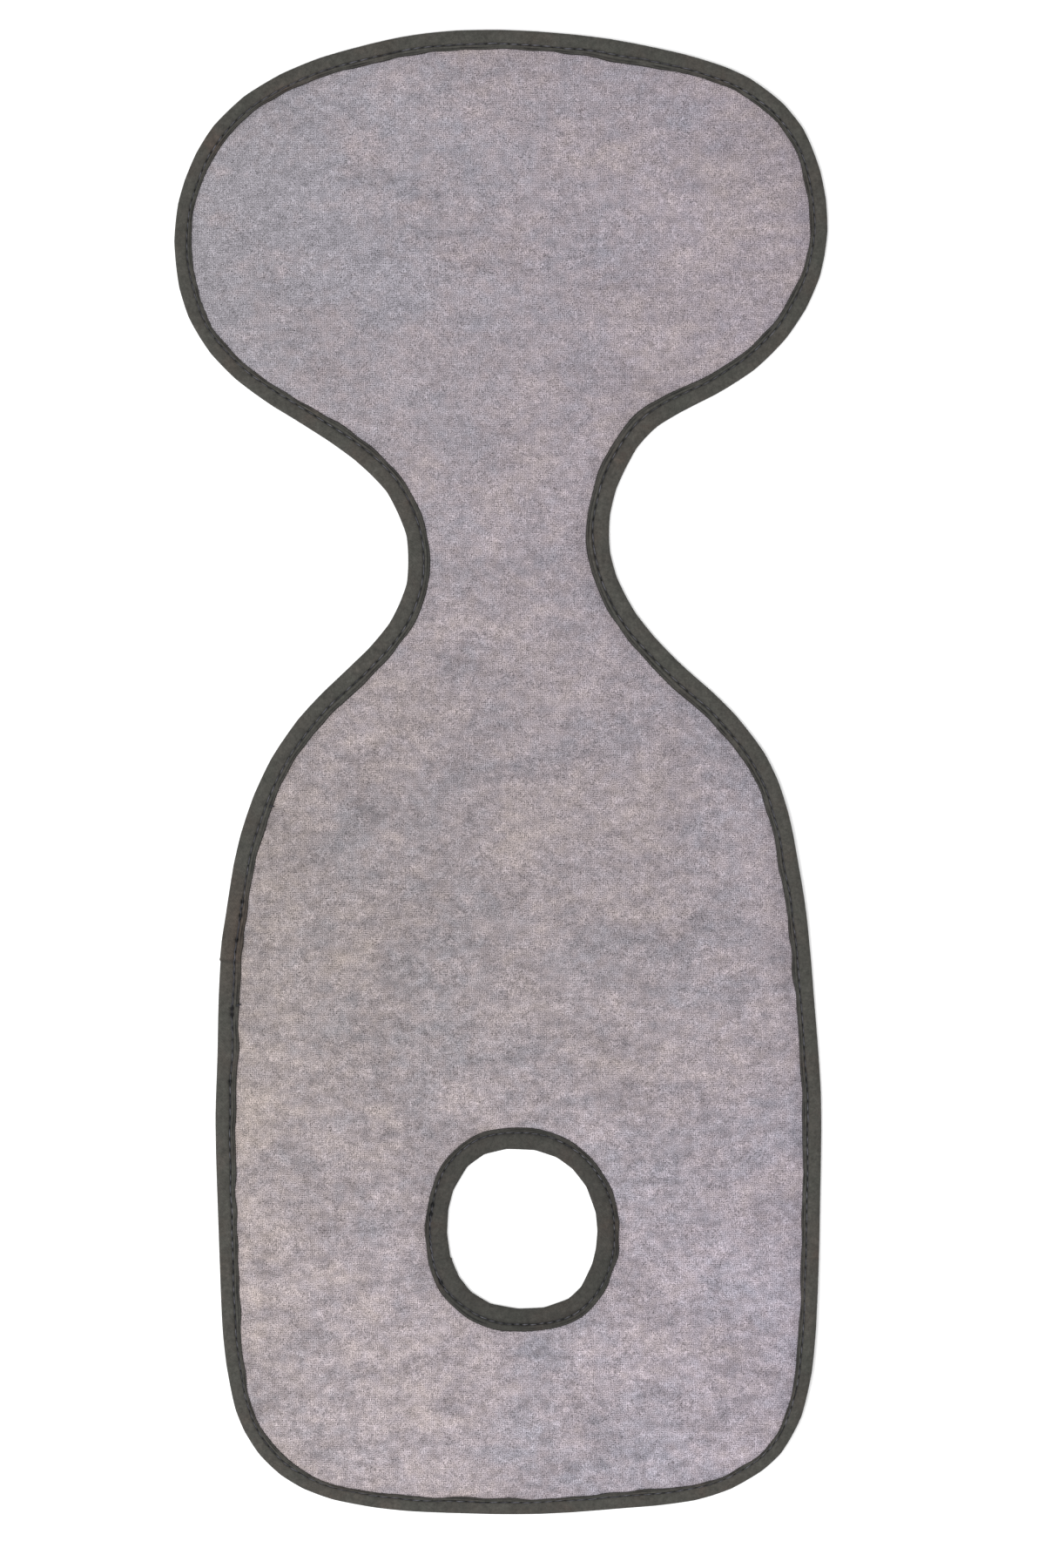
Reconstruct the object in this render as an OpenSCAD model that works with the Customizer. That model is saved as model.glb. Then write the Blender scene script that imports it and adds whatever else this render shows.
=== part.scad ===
// Soft liner for a harnessed seat: a wide rounded head part, a narrow neck with a
// shoulder-strap bay on each side, and a wide body with a strap hole low in the middle.
// It is a sandwich of three cloth layers. A folded tape binds its edge, and another
// binds the strap hole. Each tape is sewn with a needle thread and a bobbin thread.
//
// Millimetres. +Z points up through the thickness, out of the face fabric. +Y points to
// the head end and +X to the right of someone who looks down on the face. The origin is
// in the middle of the outline's box, on the underside.

/* [Pad] */
// Length from the seat end to the head end
pad_len = 750; // [700:5:800]
// Width across the head, the widest place
pad_w = 331; // [315:1:350]
// Thickness in the middle, from the underside to the face
pad_t = 6; // [5:0.5:9]

/* [Layers] */
// Thickness of the face fabric
face_t = 1; // [0.6:0.1:1.5]
// Thickness of the backing fabric
backing_t = 0.6; // [0.4:0.1:1]
// Thickness of the wadding where the tapes press it flat
pressed_t = 0.9; // [0.5:0.1:1.5]
// Width of the slope between the pressed rim and the full thickness
slope_w = 1.2; // [1:0.1:4]

/* [Strap hole] */
// Clear width of the hole
hole_w = 75; // [60:1:85]
// Clear length of the hole
hole_len = 80; // [60:1:90]
// Distance from the pad's middle line to the hole's middle
hole_x = 11; // [0:0.5:15]
// Distance from the pad's middle to the hole's middle, towards the seat end
hole_drop = 230.5; // [200:0.5:260]

/* [Binding] */
// Thickness of one ply of the folded tape
ply_t = 0.35; // [0.25:0.05:0.5]
// Width of the tape round the pad's edge, seen from above
edge_tape_w = 9.7; // [9:0.1:12]
// Width of the tape round the hole, seen from above
hole_tape_w = 11.5; // [11:0.1:13]
// Length over which a tape's end laps over its start
lap_len = 12; // [8:1:16]

/* [Stitching] */
// Diameter of the sewing thread
thread_d = 0.4; // [0.3:0.05:0.5]
// Distance from the pad's edge to its seam
edge_seam = 7; // [6:0.1:7.5]
// Distance from the hole's edge to its seam
hole_seam = 9; // [7.5:0.1:9.5]
// Length of one stitch in the pad's seam
edge_pitch = 5.5; // [4:0.1:7]
// Length of one stitch in the hole's seam
hole_pitch = 4.5; // [3.5:0.1:6]
// Gap between two stitches, where the thread goes down its needle hole
needle_gap = 1.1; // [0.8:0.1:1.6]
// Width of the channel that the seam presses into the tape
channel_w = 0.8; // [0.6:0.1:1]

/* [Hidden] */

// Heights of the layers, counted up from the underside
flange_t = 2 * ply_t;
backing_rim = flange_t;
wadding_rim = backing_rim + backing_t;
face_rim = wadding_rim + pressed_t;
rim_t = face_rim + face_t + flange_t;
face_z = pad_t - face_t;

// The channels are a little deeper than the thread, so it never stands proud
channel_depth = thread_d + 0.05;
needle_z = rim_t - channel_depth + thread_d / 2;
bobbin_z = channel_depth - thread_d / 2;

// Outline of a pad 750 long and 331 wide, as places that its edge passes through.
// They run clockwise from the middle of the head end.
knots_len = 750;
knots_w = 331;
edge_knots = [
    [0, 375], [27, 373.5], [54, 370.5], [80, 365.5], [104, 359.5], [125, 351], [142, 338.5],
    [154.5, 322.5], [161.5, 304], [165, 284], [164.5, 263], [159, 243.5], [149, 225],
    [134, 207.5], [114.5, 193.5], [94, 183], [75.5, 171.5], [64, 155.5], [57, 138],
    [54.5, 119], [58, 100.5], [66.5, 83], [79, 67], [94, 52], [110, 38], [123.5, 23.5],
    [134.5, 8], [142, -9], [147, -27], [150.5, -46.5], [154, -67], [156.5, -90.5],
    [158.5, -115], [160.5, -140], [162, -165], [162, -190], [161.5, -215], [161, -242],
    [160, -268], [158.5, -293], [155, -315], [149, -332.5], [139, -347], [124, -358],
    [106, -366], [84, -370], [60, -372], [35.5, -374], [10, -375], [-17.5, -374.5],
    [-45, -373.5], [-70.5, -370.5], [-93, -365], [-111.5, -355], [-125, -341],
    [-134, -323], [-138.5, -302], [-141, -279.5], [-142, -255], [-143, -228],
    [-144, -200], [-144.5, -172.5], [-143.5, -145], [-143, -117], [-141.5, -90],
    [-138, -63.5], [-133.5, -38], [-125.5, -12.5], [-114, 11], [-98, 32.5], [-79, 51],
    [-62, 68], [-50.5, 86], [-46.5, 106.5], [-50, 126.5], [-61, 145.5], [-79.5, 161.5],
    [-101.5, 176], [-124, 190], [-142, 205.5], [-155, 223], [-162.5, 243], [-165.3, 264],
    [-164, 284], [-158.5, 303], [-148.5, 322.5], [-133, 339], [-115.5, 350.5],
    [-95.5, 359.5], [-73.5, 366], [-50, 371.5], [-25.5, 374.5]
];
// Points on the edge from one knot to the next
knot_steps = 3;
// The edge tape's lap is beside this knot, low on the left side of the waist
lap_knot = 64;

// Outline of a hole 75 wide and 80 long, as places round its middle that its edge passes
// through. They run counter-clockwise from +X, 15 degrees apart.
knots_hole_w = 75;
knots_hole_len = 80;
hole_knots = [
    [37.2, 0], [36, 9.7], [32.8, 19], [27.2, 27.3], [19.8, 34], [10.4, 38.2], [0, 39.9],
    [-10.8, 39.4], [-21, 36.4], [-29.2, 29.3], [-34.4, 19.8], [-37, 9.9], [-37.7, 0],
    [-36.9, -9.9], [-34.3, -19.8], [-28.7, -28.7], [-20.4, -35.4], [-10.3, -38.9],
    [0, -39.8], [10.7, -39.2], [20.9, -36.2], [29.1, -29.1], [33.9, -19.6], [36.4, -9.7]
];
// Points on the hole's edge from one knot to the next
hole_knot_steps = 3;
// The hole tape's lap is beside this point of the hole's edge, low on the left side
hole_lap_point = 43;

// How far a cutting shape runs past the solid that it cuts
past = 1;

// The item of a closed loop at any count, also before its start or past its end
function item(loop, i) = loop[(i + len(loop)) % len(loop)];

// Catmull-Rom curve from b to c, where a and d are the knots before and after
function curve(a, b, c, d, t) =
    0.5 * (2 * b + (c - a) * t + (2 * a - 5 * b + 4 * c - d) * t * t
    + (3 * b - a - 3 * c + d) * t * t * t);

function smooth_loop(knots, steps) = [
    for (i = [0 : len(knots) - 1], s = [0 : steps - 1])
        curve(item(knots, i - 1), knots[i], item(knots, i + 1), item(knots, i + 2), s / steps)
];

// Direction square to a loop at each of its points, to the right of the way it runs
function loop_normals(loop) = [
    for (i = [0 : len(loop) - 1])
        let (along = item(loop, i + 1) - item(loop, i - 1))
            [along.y, -along.x] / norm(along)
];

edge_points = smooth_loop(
    [for (k = edge_knots) [k.x * pad_w / knots_w, k.y * pad_len / knots_len]], knot_steps
);
edge_normals = loop_normals(edge_points);
hole_points = smooth_loop(
    [
        for (k = hole_knots) [
            hole_x + k.x * hole_w / knots_hole_w,
            -hole_drop + k.y * hole_len / knots_hole_len
        ]
    ],
    hole_knot_steps
);
hole_normals = loop_normals(hole_points);

// The pad's edge moved inwards, and the hole's edge moved outwards
function edge_loop(inset) =
    [for (i = [0 : len(edge_points) - 1]) edge_points[i] + inset * edge_normals[i]];
function hole_loop(outset) =
    [for (i = [0 : len(hole_points) - 1]) hole_points[i] + outset * hole_normals[i]];

// Distance run along a closed loop at each of its points, up to the whole way round
function loop_run(loop) = [
    for (
        i = 0, run = 0;
        i <= len(loop);
        run = run + norm(item(loop, i + 1) - item(loop, i)), i = i + 1
    ) run
];

// Area between the pad's edge and the hole, held back from both
module pad_area(edge_inset, hole_outset) {
    difference() {
        polygon(edge_loop(edge_inset));
        polygon(hole_loop(hole_outset));
    }
}

// Flat layer inside both tapes
module slab(edge_inset, hole_outset, low, high) {
    translate([0, 0, low])
        linear_extrude(high - low)
            pad_area(edge_inset, hole_outset);
}

// Bands along both edges, between two distances from each
module bands(edge_from, hole_from, edge_to, hole_to, low, high) {
    translate([0, 0, low])
        linear_extrude(high - low)
            difference() {
                pad_area(edge_from, hole_from);
                pad_area(edge_to, hole_to);
            }
}

// Cloth layer: a plate in the middle, a pressed rim under the tapes, and a short
// slope between them
module cloth(plate_low, plate_high, rim_low, rim_high) {
    slab(edge_tape_w, hole_tape_w, plate_low, plate_high);
    bands(ply_t, ply_t, edge_tape_w + slope_w, hole_tape_w + slope_w, rim_low, rim_high);
    bands(
        edge_tape_w, hole_tape_w, edge_tape_w + slope_w, hole_tape_w + slope_w,
        min(plate_low, rim_low), max(plate_high, rim_high)
    );
}

// Band along one edge only: the pad's, or the hole's
module edge_band(from, to) {
    difference() {
        polygon(edge_loop(from));
        polygon(edge_loop(to));
    }
}

module hole_band(from, to) {
    difference() {
        polygon(hole_loop(to));
        polygon(hole_loop(from));
    }
}

// Layer of a one-edge band, from one height to another
module band_layer(on_hole, from, to, low, high) {
    translate([0, 0, low])
        linear_extrude(high - low)
            if (on_hole)
                hole_band(from, to);
            else
                edge_band(from, to);
}

// Tape folded over an edge, with a channel on both sides for the seam
module folded_tape(on_hole, width, seam) {
    difference() {
        band_layer(on_hole, 0, width, 0, rim_t);
        band_layer(on_hole, ply_t, width + past, flange_t, rim_t - flange_t);
        band_layer(on_hole, seam - channel_w / 2, seam + channel_w / 2, -past, channel_depth);
        band_layer(
            on_hole, seam - channel_w / 2, seam + channel_w / 2,
            rim_t - channel_depth, rim_t + past
        );
    }
}

// The end of a tape, one more ply over its start, on the face and round the edge.
// It leaves the seam's channel open.
module tape_lap(on_hole, width, seam, place) {
    difference() {
        intersection() {
            band_layer(on_hole, -ply_t, width, 0, rim_t + ply_t);
            translate([place.x, place.y, rim_t / 2])
                cube([3 * width, lap_len, 2 * rim_t], center = true);
        }
        band_layer(on_hole, 0, width + past, -past, rim_t);
        band_layer(
            on_hole, seam - channel_w / 2, seam + channel_w / 2,
            rim_t - channel_depth, rim_t + 2 * past
        );
    }
}

// Stitches along a closed loop: the lengths of thread that lie on the tape. What goes
// down through the needle holes is inside the cloth.
module stitches(loop, pitch, height) {
    run = loop_run(loop);
    whole = run[len(loop)];
    count = round(whole / pitch);
    x_at = [for (i = [0 : len(loop)]) [run[i], item(loop, i).x]];
    y_at = [for (i = [0 : len(loop)]) [run[i], item(loop, i).y]];
    stitch = whole / count;
    for (k = [0 : count - 1]) {
        from = k * stitch + needle_gap / 2;
        to = (k + 1) * stitch - needle_gap / 2;
        start = [lookup(from, x_at), lookup(from, y_at)];
        end = [lookup(to, x_at), lookup(to, y_at)];
        along = end - start;
        translate([start.x, start.y, height])
            rotate([0, 90, atan2(along.y, along.x)])
                cylinder(h = norm(along), d = thread_d, $fn = 16);
    }
}

module face_fabric() {
    color([0.64, 0.61, 0.63])
        cloth(face_z, pad_t, face_rim, face_rim + face_t);
}

module wadding() {
    color([0.93, 0.93, 0.91]) {
        slab(edge_tape_w + slope_w, hole_tape_w + slope_w, backing_t, face_z);
        bands(
            ply_t, ply_t, edge_tape_w + slope_w + past, hole_tape_w + slope_w + past,
            wadding_rim, face_rim
        );
    }
}

module backing_fabric() {
    color([0.45, 0.44, 0.45])
        cloth(0, backing_t, backing_rim, wadding_rim);
}

module outer_binding() {
    color([0.31, 0.30, 0.29]) {
        folded_tape(false, edge_tape_w, edge_seam);
        tape_lap(false, edge_tape_w, edge_seam, edge_points[lap_knot * knot_steps]);
    }
}

module hole_binding() {
    color([0.29, 0.29, 0.27]) {
        folded_tape(true, hole_tape_w, hole_seam);
        tape_lap(true, hole_tape_w, hole_seam, hole_points[hole_lap_point]);
    }
}

module outer_needle_thread() {
    color([0.38, 0.37, 0.40])
        stitches(edge_loop(edge_seam), edge_pitch, needle_z);
}

module outer_bobbin_thread() {
    color([0.38, 0.37, 0.40])
        stitches(edge_loop(edge_seam), edge_pitch, bobbin_z);
}

module hole_needle_thread() {
    color([0.38, 0.37, 0.40])
        stitches(hole_loop(hole_seam), hole_pitch, needle_z);
}

module hole_bobbin_thread() {
    color([0.38, 0.37, 0.40])
        stitches(hole_loop(hole_seam), hole_pitch, bobbin_z);
}

face_fabric();
wadding();
backing_fabric();
outer_binding();
hole_binding();
outer_needle_thread();
outer_bobbin_thread();
hole_needle_thread();
hole_bobbin_thread();
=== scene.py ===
"""The looks of a soft seat liner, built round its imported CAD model.

The outlines, the widths of the tapes and the heights of the layers are read from the CAD
nodes. Every node is soft, so each one is replaced by a modelled piece: padded face cloth,
wadding, backing cloth, two folded tapes and four sewn threads. Lengths are in metres.
"""

import math

import bpy
import numpy as np
from mathutils.kdtree import KDTree
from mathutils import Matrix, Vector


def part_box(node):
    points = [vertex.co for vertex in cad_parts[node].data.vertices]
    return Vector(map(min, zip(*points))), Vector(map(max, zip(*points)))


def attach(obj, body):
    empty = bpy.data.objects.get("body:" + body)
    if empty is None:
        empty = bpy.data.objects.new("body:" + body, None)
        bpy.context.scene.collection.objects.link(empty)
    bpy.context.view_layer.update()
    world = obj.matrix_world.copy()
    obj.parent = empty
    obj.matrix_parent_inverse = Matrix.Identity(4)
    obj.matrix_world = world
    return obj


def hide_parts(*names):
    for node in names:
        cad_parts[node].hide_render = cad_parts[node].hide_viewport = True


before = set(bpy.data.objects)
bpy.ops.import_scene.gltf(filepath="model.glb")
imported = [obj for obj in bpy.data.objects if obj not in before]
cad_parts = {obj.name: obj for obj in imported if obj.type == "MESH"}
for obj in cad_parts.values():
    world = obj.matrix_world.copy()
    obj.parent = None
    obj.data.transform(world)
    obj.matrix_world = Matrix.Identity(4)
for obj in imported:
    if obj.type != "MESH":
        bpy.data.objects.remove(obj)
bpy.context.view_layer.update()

MM = 0.001
TOUCH = 0.00002            # heights that differ by less are one level

# ---------------------------------------------------------------- sizes and settings

SAMPLES_PER_STITCH = 6
THREAD_RADIUS = 0.24 * MM

GRID_CELL = 4 * MM
TUCK = 1.6 * MM            # how far inside the fold of the tape the cloth's raw edge lies
FACE_THICK = 0.8 * MM
BACKING_THICK = 0.6 * MM
LAYER_GAP = 0.15 * MM
FACE_HELD = 0.66           # heights under the tapes, as shares of the rim's
BACKING_HELD = 0.18
PUFF_LENGTH = 4.2 * MM     # over this length the face rises beside a tape
LIFT = 1.3 * MM            # how far the liner's low waves stand off the floor, at most

SIM_FRAMES = 20
SIM_CAP = 1.1 * MM         # how far a corner of the cloth may move in all
SIM_SPARE = 0.0012         # share of its length that the cloth has to spare
TINY = 1e-9

CAMERA_HEIGHT = 2.6
CAMERA_OFFSET = (10.9 * MM, -6 * MM)
VIEW_LENGTH = 0.792        # length of the floor that the picture's long side takes in
SENSOR = 36

rng = np.random.default_rng(62)

# ---------------------------------------------------------------- reading the CAD nodes


def node_mesh(node):
    """Corner positions and triangles of a CAD node, with corners at one place merged."""
    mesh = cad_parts[node].data
    co = np.empty(len(mesh.vertices) * 3)
    mesh.vertices.foreach_get("co", co)
    co = co.reshape(-1, 3)
    mesh.calc_loop_triangles()
    corners = np.empty(len(mesh.loop_triangles) * 3, int)
    mesh.loop_triangles.foreach_get("vertices", corners)
    _, first, same = np.unique(
        np.round(co / (TOUCH / 4)), axis=0, return_index=True, return_inverse=True
    )
    return co[first], same.reshape(-1)[corners].reshape(-1, 3)


def loop_area(loop):
    x, y = loop[:, 0], loop[:, 1]
    return 0.5 * float((x * np.roll(y, -1) - np.roll(x, -1) * y).sum())


def level_loops(node, height):
    """Closed outlines of the flat area that a CAD node has at one height, largest first."""
    co, triangles = node_mesh(node)
    flat = triangles[(abs(co[triangles][:, :, 2] - height) < TOUCH).all(1)]
    steps = {(a, b) for t in flat for a, b in ((t[0], t[1]), (t[1], t[2]), (t[2], t[0]))}
    follows = {a: b for a, b in steps if (b, a) not in steps}
    loops = []
    while follows:
        start, here = next(iter(follows.items()))
        loop = [start]
        del follows[start]
        while here != start:
            loop.append(here)
            here = follows.pop(here)
        loops.append(co[loop][:, :2])
    return sorted(loops, key=lambda one: -abs(loop_area(one)))


def stitch_count(node):
    """How many separate lengths of thread a CAD node has."""
    _, triangles = node_mesh(node)
    group, before = np.arange(triangles.max() + 1), None
    while not np.array_equal(group, before):
        before = group.copy()
        np.minimum.at(group, triangles, group[triangles].min(1)[:, None])
    return len(np.unique(group))


# ---------------------------------------------------------------- smooth closed curves


def evenly(loop, count):
    """Points at equal distances along a closed polyline."""
    closed = np.vstack([loop, loop[:1]])
    run = np.concatenate([[0], np.cumsum(np.linalg.norm(np.diff(closed, axis=0), axis=1))])
    places = np.linspace(0, run[-1], count, endpoint=False)
    return np.stack([np.interp(places, run, closed[:, k]) for k in (0, 1)], axis=1)


def blurred(values, spread):
    """A closed row of values, blurred by a Gaussian that is spread samples wide."""
    share = np.fft.fftfreq(len(values))
    keep = np.exp(-2 * (math.pi * share * spread) ** 2)
    spectrum = np.fft.fft(values, axis=0)
    keep = keep.reshape((-1,) + (1,) * (spectrum.ndim - 1))
    return np.real(np.fft.ifft(spectrum * keep, axis=0))


def ripple(length, count, shortest, longest):
    """Smooth random waves round a closed curve, between two wavelengths, about -1 to 1."""
    times_round = np.fft.fftfreq(count, 1 / count)
    wavelength = length / np.maximum(abs(times_round), 0.5)
    spectrum = np.fft.fft(rng.normal(size=count))
    spectrum[(wavelength < shortest) | (wavelength > longest)] = 0
    wave = np.real(np.fft.ifft(spectrum))
    return wave / (2 * wave.std())


def smooth(low, high, value):
    """0 below low, 1 above high, and a smooth step between."""
    t = np.clip((value - low) / (high - low), 0, 1)
    return t * t * (3 - 2 * t)


class Rim:
    """One bound edge of the pad: its curve, and how its tape varies along it.

    Samples run with the cloth on their left, and start at the fold where the tape's end
    laps over its start. A distance in from the curve is into the cloth.
    """

    def __init__(self, outline, start, stitches, chord, chord_depth):
        """outline is a closed loop with the cloth on its left, start a place on it."""
        fine = evenly(outline, 4 * len(outline))
        nearest = np.argmin(np.linalg.norm(fine - start, axis=1))
        fine = np.roll(fine, -nearest, axis=0)
        closed = np.vstack([fine, fine[:1]])
        self.length = np.linalg.norm(np.diff(closed, axis=0), axis=1).sum()
        self.stitches = stitches
        self.count = self.stitches * SAMPLES_PER_STITCH
        self.step = self.length / self.count
        self.points = blurred(evenly(fine, self.count), 3 * MM / self.step)
        along = np.roll(self.points, -1, axis=0) - np.roll(self.points, 1, axis=0)
        self.along = along / np.linalg.norm(along, axis=1)[:, None]
        self.inward = np.stack([-self.along[:, 1], self.along[:, 0]], axis=1)
        self.run = np.arange(self.count) * self.step
        self.edge_shift, self.kinks = self.chords(chord, chord_depth)
        tree = KDTree(self.count)
        for i, p in enumerate(self.points):
            tree.insert((p[0], p[1], 0), i)
        tree.balance()
        self.tree = tree

    def chords(self, chord, depth):
        """How far off the curve the folded edge lies, as it runs straighter between kinks."""
        gaps = rng.uniform(*chord, size=int(2 * self.length / sum(chord)))
        places = np.cumsum(gaps) / gaps.sum() * self.count
        kinks = np.unique(places.astype(int) % self.count)
        closed = np.concatenate([kinks, [kinks[0] + self.count]])
        corners = self.points[closed % self.count]
        wanted = (np.arange(self.count) - kinks[0]) % self.count + kinks[0]
        straight = np.stack([np.interp(wanted, closed, corners[:, k]) for k in (0, 1)], 1)
        shift = ((straight - self.points) * self.inward).sum(1) * depth
        return blurred(shift - shift.mean(), 0.6 * MM / self.step), kinks

    def waves(self, *bands):
        """Random waves round the rim. Each band: shortest and longest wave, and height."""
        return sum(
            height * ripple(self.length, self.count, shortest, longest)
            for shortest, longest, height in bands
        )

    def near_kink(self, width):
        """1 at each kink of the folded edge, falling to almost 0 at two widths from it."""
        away = np.full(self.count, np.inf)
        places = np.arange(self.count)
        for kink in self.kinks:
            off = abs(places - kink)
            away = np.minimum(away, np.minimum(off, self.count - off))
        return np.exp(-((away * self.step / width) ** 2))

    def nearest(self, co):
        """For each place: the nearest sample, and how far into the cloth the place is."""
        index = np.array([self.tree.find((x, y, 0))[1] for x, y in co])
        off = co - self.points[index]
        depth = np.linalg.norm(off, axis=1)
        return index, np.where((off * self.inward[index]).sum(1) < 0, -depth, depth)

    def place(self, index, depth):
        """The place that is depth into the cloth from each sample."""
        return self.points[index] + self.inward[index] * np.asarray(depth)[..., None]


def counter_clockwise(loop):
    return loop if loop_area(loop) > 0 else loop[::-1]


face_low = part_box("face_fabric")[0].z
outline, _, _, hole_outline = level_loops("face_fabric", face_low)
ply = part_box("outer_binding")[1].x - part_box("face_fabric")[1].x
rim_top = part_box("outer_binding")[1].z - ply
pad_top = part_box("face_fabric")[1].z


def tape_widths(node):
    """Seam distance and width of a tape, both measured in from its folded edge."""
    loops = level_loops(node, 0)
    if node == "hole_binding":
        loops = loops[::-1]
    edge = loops[0]
    away = [
        np.median([np.linalg.norm(edge - p, axis=1).min() for p in loop[::4]])
        for loop in loops[1:]
    ]
    return (away[0] + away[1]) / 2, away[2]


def lap_fold(node, towards_y):
    """Place of the lapped tape's end: the end, up or down Y, of the node's highest part."""
    co, _ = node_mesh(node)
    lap = co[co[:, 2] > rim_top + ply / 2][:, :2]
    return lap[np.argmax(lap[:, 1] * towards_y)]


edge_seam, edge_tape = tape_widths("outer_binding")
hole_seam, hole_tape = tape_widths("hole_binding")
edge = Rim(
    counter_clockwise(outline), lap_fold("outer_binding", -1),
    stitch_count("outer_needle_thread"), chord=(11 * MM, 26 * MM), chord_depth=0.4,
)
hole = Rim(
    counter_clockwise(hole_outline)[::-1], lap_fold("hole_binding", 1),
    stitch_count("hole_needle_thread"), chord=(7 * MM, 15 * MM), chord_depth=0.85,
)

# The tape's width in mm by the share of the way round from the lap: it is caught wider in
# the bays beside the neck, and narrower round the bottom and the sides of the head. Besides,
# the seam wanders a little and the tape's inner edge wanders about it.
EDGE_WIDTHS = (
    (0, 10.5), (0.06, 10), (0.13, 8), (0.22, 8), (0.25, 7.5), (0.31, 9.5), (0.38, 9.5),
    (0.44, 11.5), (0.53, 11), (0.59, 8.5), (0.66, 10.5), (0.75, 9.5), (0.81, 8.5),
    (0.88, 10.5), (0.94, 11),
)
shares, widths = np.transpose(EDGE_WIDTHS)
widths = np.interp(edge.run / edge.length, shares, widths * MM, period=1)
wider = blurred(widths, 20 * MM / edge.step) - edge_tape
wider += edge.waves((160 * MM, 600 * MM, 0.2 * MM))
edge.seam = edge_seam + 0.5 * wider + edge.waves((25 * MM, 160 * MM, 0.25 * MM))
edge.lip = edge_tape - edge_seam + 0.5 * wider
edge.lip += edge.waves((60 * MM, 160 * MM, 0.45 * MM), (15 * MM, 60 * MM, 0.3 * MM))
edge.lip += 0.7 * MM * np.exp(-(((edge.run - edge.length + 10 * MM) / (4 * MM)) ** 2))

# At the bottom of the hole the tape is wider, and its seam is nearer to the fold.
below = hole.points[:, 1].mean() - hole.points[:, 1]
wider = 0.012 * below + hole.waves((60 * MM, 260 * MM, 0.35 * MM)) - 0.2 * MM
nearer = 0.9 * MM * smooth(0.02, 0.035, below)
lip_share = 0.5 + 14 * below
hole.seam = hole_seam + (1 - lip_share) * wider + hole.waves((20 * MM, 60 * MM, 0.2 * MM))
hole.seam -= nearer
hole.lip = hole_tape - hole_seam + lip_share * wider + hole.waves((12 * MM, 60 * MM, 0.25 * MM))
hole.lip += nearer

# The lip is pleated more in some places than in others. Where the lap was begun and ended
# with back stitches, a few of the needle's holes gape.
EDGE_GAPING = (23.5 * MM, 26.5 * MM, -24.5 * MM, -31.5 * MM, -12 * MM, 60 * MM)
HOLE_GAPING = (-9 * MM, 21 * MM, 25 * MM)
for rim, gaping in ((edge, EDGE_GAPING), (hole, HOLE_GAPING)):
    rim.lip = np.maximum(rim.lip, 1.3 * MM)
    rim.width = rim.seam + rim.lip
    rim.pleat = np.clip(0.6 + rim.waves((12 * MM, 90 * MM, 0.6)), 0.1, 1)
    rim.lap = smooth(rim.length - 26 * MM, rim.length - 10 * MM, rim.run)
    gap = abs(rim.run[:, None] - np.array(gaping) % rim.length)
    gap = np.minimum(gap, rim.length - gap)
    rim.gape = np.exp(-((gap / (1.1 * MM)) ** 2)).max(1)
    # In some stretches the stitches have sunk and hardly show
    rim.faint = np.clip(0.3 + rim.waves((80 * MM, 500 * MM, 0.5)), 0, 0.8)
# The edge tape has faded browner about its lap. The tape round the hole is a little darker.
edge.browner = 0.85 * smooth(edge.length - 50 * MM, edge.length - 20 * MM, edge.run)
edge.browner += 0.5 * (1 - smooth(0, 30 * MM, edge.run))
hole.browner = np.zeros(hole.count)
edge.dark, hole.dark = 0, 0.28
# Painted shade along the seam's channel, on the hole tape only
edge.seam_dark, hole.seam_dark = 0, 0.25

# ---------------------------------------------------------------- how the liner lies


def plane_waves(count, shortest, longest):
    """Random straight waves over the plane: their wave numbers and phases."""
    heading = rng.uniform(0, math.pi, count)
    number = 2 * math.pi / rng.uniform(shortest, longest, count)
    return number * np.cos(heading), number * np.sin(heading), rng.uniform(0, 7, count)


lie_waves = plane_waves(5, 0.19, 0.45)


def lift(co):
    """How far the liner stands off the floor at each place. It lies in long, low waves."""
    kx, ky, phase = lie_waves
    total = np.cos(co[:, :1] * kx + co[:, 1:2] * ky + phase).mean(1)
    return LIFT * np.clip(total / 0.7, 0, 1) ** 2


# ---------------------------------------------------------------- materials

# How bright a white surface that lies flat is under the stage's light. Colours are given
# as they look on screen, so they are divided by it.
STAGE_LIGHT = 1.6
ONE_WAVE = math.pi / 10    # the wave node's scale at which one wave is one unit long
MATT = 0.2                 # specular level of cotton, which hardly shines


def looks(red, green, blue):
    """Linear values for a colour that is seen as these screen values, 0 to 255."""
    return tuple(((c / 255 + 0.055) / 1.055) ** 2.4 / STAGE_LIGHT
                 for c in (red, green, blue)) + (1,)


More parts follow.
